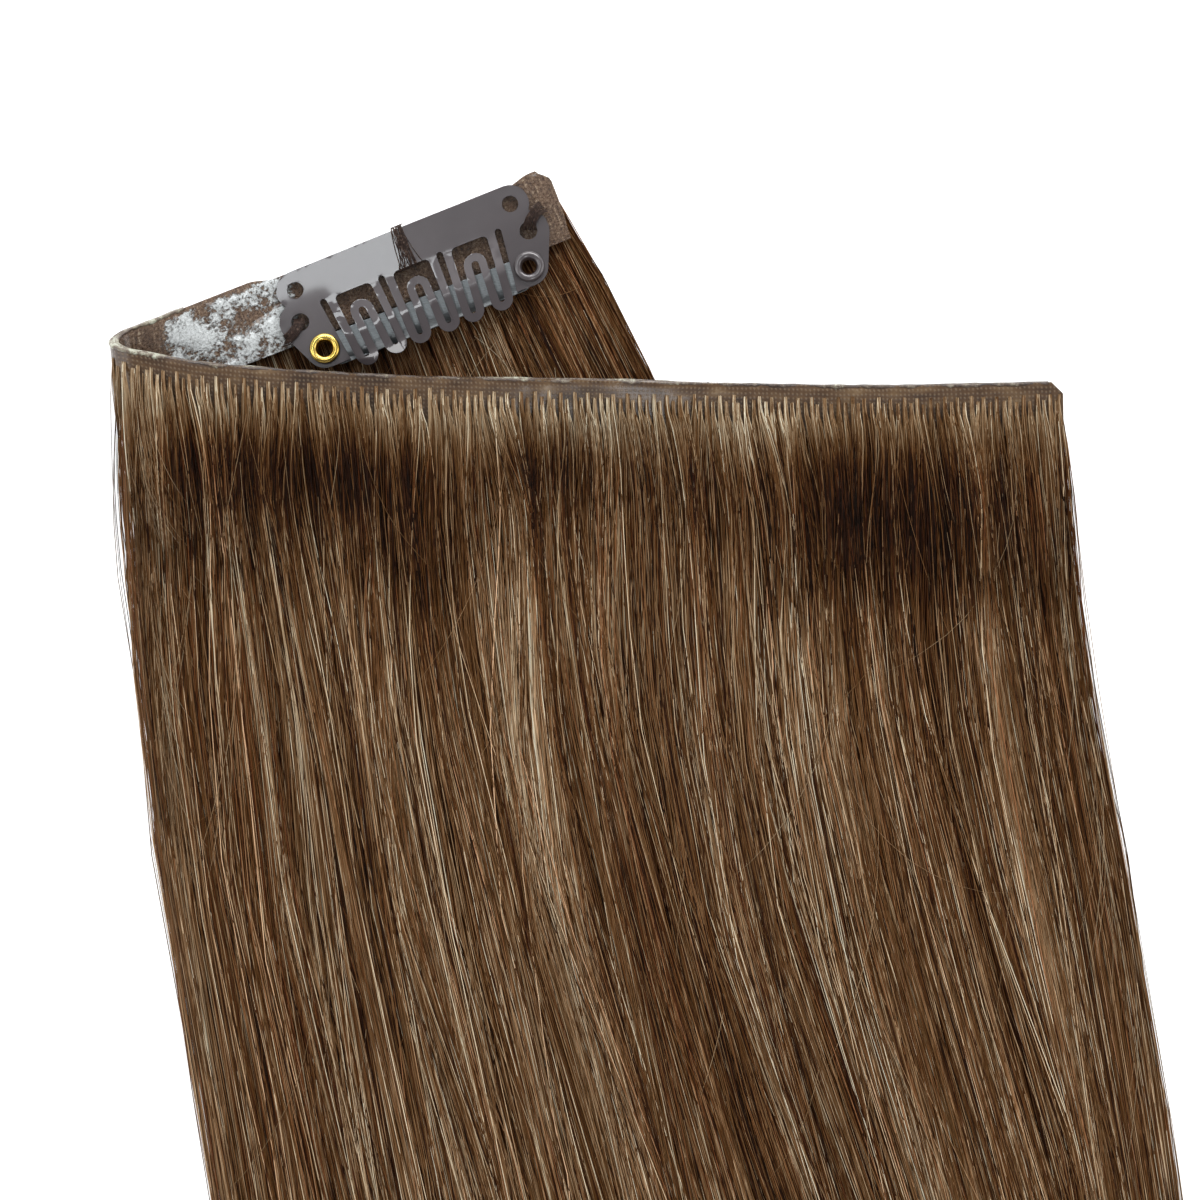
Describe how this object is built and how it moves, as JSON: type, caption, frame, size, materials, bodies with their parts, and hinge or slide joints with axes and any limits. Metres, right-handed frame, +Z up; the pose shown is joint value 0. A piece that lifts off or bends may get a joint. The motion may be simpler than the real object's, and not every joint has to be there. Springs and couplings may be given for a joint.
{
  "type": "clip-in hair extension",
  "caption": "Clip-in hair extension: straight brown hair set in a folded clear-backed band with comb clips, lying flat.",
  "frame": {"origin": "middle of the footprint of the whole part, at the height of the surface that it lies on", "axes": "+Y from the hair's tips towards the band, +X along the upper run away from the fold, +Z up"},
  "size_m": [0.132, 0.3258, 0.0083],
  "materials": {
    "band_film": "cast polyurethane film over fine lace, smooth and slightly glossy, with dried clear glue",
    "hair": "straight fibres, brown with lighter and darker strands, soft gloss along the strand",
    "painted_spring_steel": "grey-mauve baked enamel, satin gloss",
    "plated_steel": "dull nickel plate",
    "brass": "bright drawn brass eyelet"
  },
  "bodies": {
    "root": {"band": "band_film", "hair_front": "hair", "hair_back": "hair", "comb_plate": "painted_spring_steel", "clamp_bar": "plated_steel", "eyelet_left": "brass", "eyelet_right": "painted_spring_steel", "hidden_clip_end": "painted_spring_steel", "hidden_clip_middle": "painted_spring_steel"}
  },
  "joints": []
}
